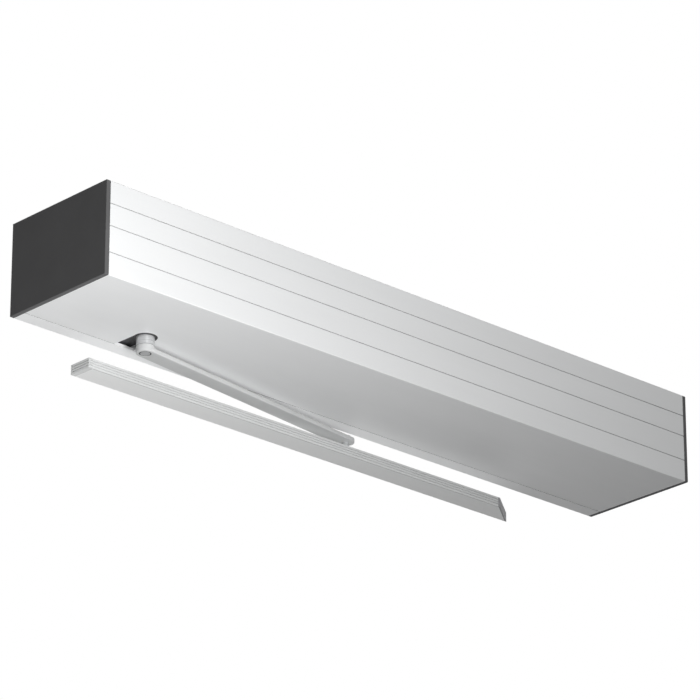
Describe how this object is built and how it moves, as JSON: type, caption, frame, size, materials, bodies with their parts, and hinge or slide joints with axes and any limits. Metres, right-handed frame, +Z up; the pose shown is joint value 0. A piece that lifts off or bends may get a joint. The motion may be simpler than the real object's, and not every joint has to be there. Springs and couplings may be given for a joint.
{
  "type": "swing door operator",
  "caption": "Surface-mounted swing door operator: long box housing, geared motor and closing spring inside, flat arm below with its pin in a sliding guide rail.",
  "frame": {"origin": "centre of the base profile's rear face, which lies on the wall", "axes": "+X to the right seen from the front, +Y into the wall, +Z up"},
  "size_m": [0.82, 0.149, 0.1375],
  "materials": {
    "base_aluminium": "silver satin anodised extrusion",
    "cover_silver": "silver satin anodised extrusion",
    "cap_grey": "dark grey moulded, fine grain",
    "zinc_steel": "zinc plated",
    "cast_case": "die-cast, black coat",
    "gear_steel": "hobbed and hardened",
    "bearing_steel": "ground",
    "spindle_steel": "ground, bright",
    "spring_steel": "oiled spring steel",
    "lamination": "stacked sheets",
    "copper": "enamelled copper wire",
    "motor_black": "black powder coat",
    "board_green": "solder resist",
    "part_black": "moulded",
    "can_blue": "sleeved can",
    "terminal_green": "moulded",
    "sink_aluminium": "dark anodised",
    "coil_tape": "wound with tape",
    "switch_black": "moulded",
    "rocker_black": "moulded, glossy",
    "arm_silver": "silver coat, satin",
    "slide_white": "slippery natural plastic",
    "rail_silver": "silver satin anodised extrusion",
    "rail_cap_grey": "moulded",
    "buffer_rubber": "moulded"
  },
  "bodies": {
    "arm": {"spindle": "spindle_steel", "output_gear": "gear_steel", "spring_pinion": "gear_steel", "spindle_nut": "zinc_steel", "arm_bar": "arm_silver", "arm_screw": "zinc_steel", "slide_pin": "zinc_steel"},
    "idler_2": {"idler_2_gear": "gear_steel", "idler_2_pinion": "gear_steel"},
    "idler_1": {"idler_1_gear": "gear_steel", "idler_1_pinion": "gear_steel"},
    "rotor": {"motor_pinion": "gear_steel", "motor_shaft": "bearing_steel", "motor_rotor": "lamination"},
    "rack": {"rack": "gear_steel"},
    "rocker": {"switch_rocker": "rocker_black"},
    "slider": {"slide_block": "slide_white"},
    "rail": {"guide_rail": "rail_silver", "rail_trim": "rail_silver", "rail_cap_left": "rail_silver", "rail_cap_right": "rail_cap_grey", "rail_buffers": "buffer_rubber"},
    "housing": {"base_profile": "base_aluminium", "cover": "cover_silver", "end_cap_left": "cap_grey", "end_cap_right": "cap_grey", "t_slot_bolts": "zinc_steel", "gear_case": "cast_case", "gear_case_lid": "cast_case", "spindle_bearings": "bearing_steel", "idler_pins": "bearing_steel", "motor_plate": "motor_black", "motor_stator": "lamination", "motor_windings": "copper", "motor_cap": "motor_black", "rack_guide": "zinc_steel", "spring_tube": "zinc_steel", "closing_spring": "spring_steel", "spring_plug": "zinc_steel", "tube_clamp": "zinc_steel", "board_tray": "zinc_steel", "control_board": "board_green", "relays": "part_black", "capacitor": "can_blue", "terminal_blocks": "terminal_green", "heat_sink": "sink_aluminium", "transformer_core": "lamination", "transformer_coil": "coil_tape", "transformer_frame": "zinc_steel", "switch_body": "switch_black"}
  },
  "joints": [
    {"name": "arm_swing", "type": "hinge", "parent": "housing", "child": "arm", "pos_m": [-0.2785, -0.051, -0.055], "axis": [0, 0, -1], "range_deg": [0, 115], "stiffness_Nm_per_rad": 8},
    {"name": "slider_turn", "type": "hinge", "parent": "arm", "child": "slider", "pos_m": [0.031, -0.01, -0.08215], "axis": [0, 0, -1], "range_deg": [-20, 50]},
    {"name": "rail_slide", "type": "slide", "parent": "slider", "child": "rail", "axis": [1, 0, 0], "range_m": [-0.171, 0.314]},
    {"name": "idler_2_turn", "type": "hinge", "parent": "housing", "child": "idler_2", "pos_m": [-0.24633, -0.08317, -0.03], "axis": [0, 0, -1], "continuous": true},
    {"name": "idler_1_turn", "type": "hinge", "parent": "housing", "child": "idler_1", "pos_m": [-0.21133, -0.08317, -0.02], "axis": [0, 0, -1], "continuous": true},
    {"name": "rotor_turn", "type": "hinge", "parent": "housing", "child": "rotor", "pos_m": [-0.18133, -0.08317, 0.01], "axis": [0, 0, -1], "continuous": true},
    {"name": "rack_slide", "type": "slide", "parent": "housing", "child": "rack", "axis": [1, 0, 0], "range_m": [-0.0005, 0.0326], "deforming": ["closing_spring"]},
    {"name": "rocker_tilt", "type": "hinge", "parent": "housing", "child": "rocker", "pos_m": [0.401, -0.07, 0], "axis": [0, 0, 1], "range_deg": [-8, 8]}
  ],
  "couplings": [
    {"joint": "idler_2_turn", "follows": "arm_swing", "ratio": -3.3333},
    {"joint": "idler_1_turn", "follows": "arm_swing", "ratio": 12.222},
    {"joint": "rotor_turn", "follows": "arm_swing", "ratio": -48.889},
    {"joint": "rack_slide", "follows": "arm_swing", "m_per_rad": 0.016}
  ]
}
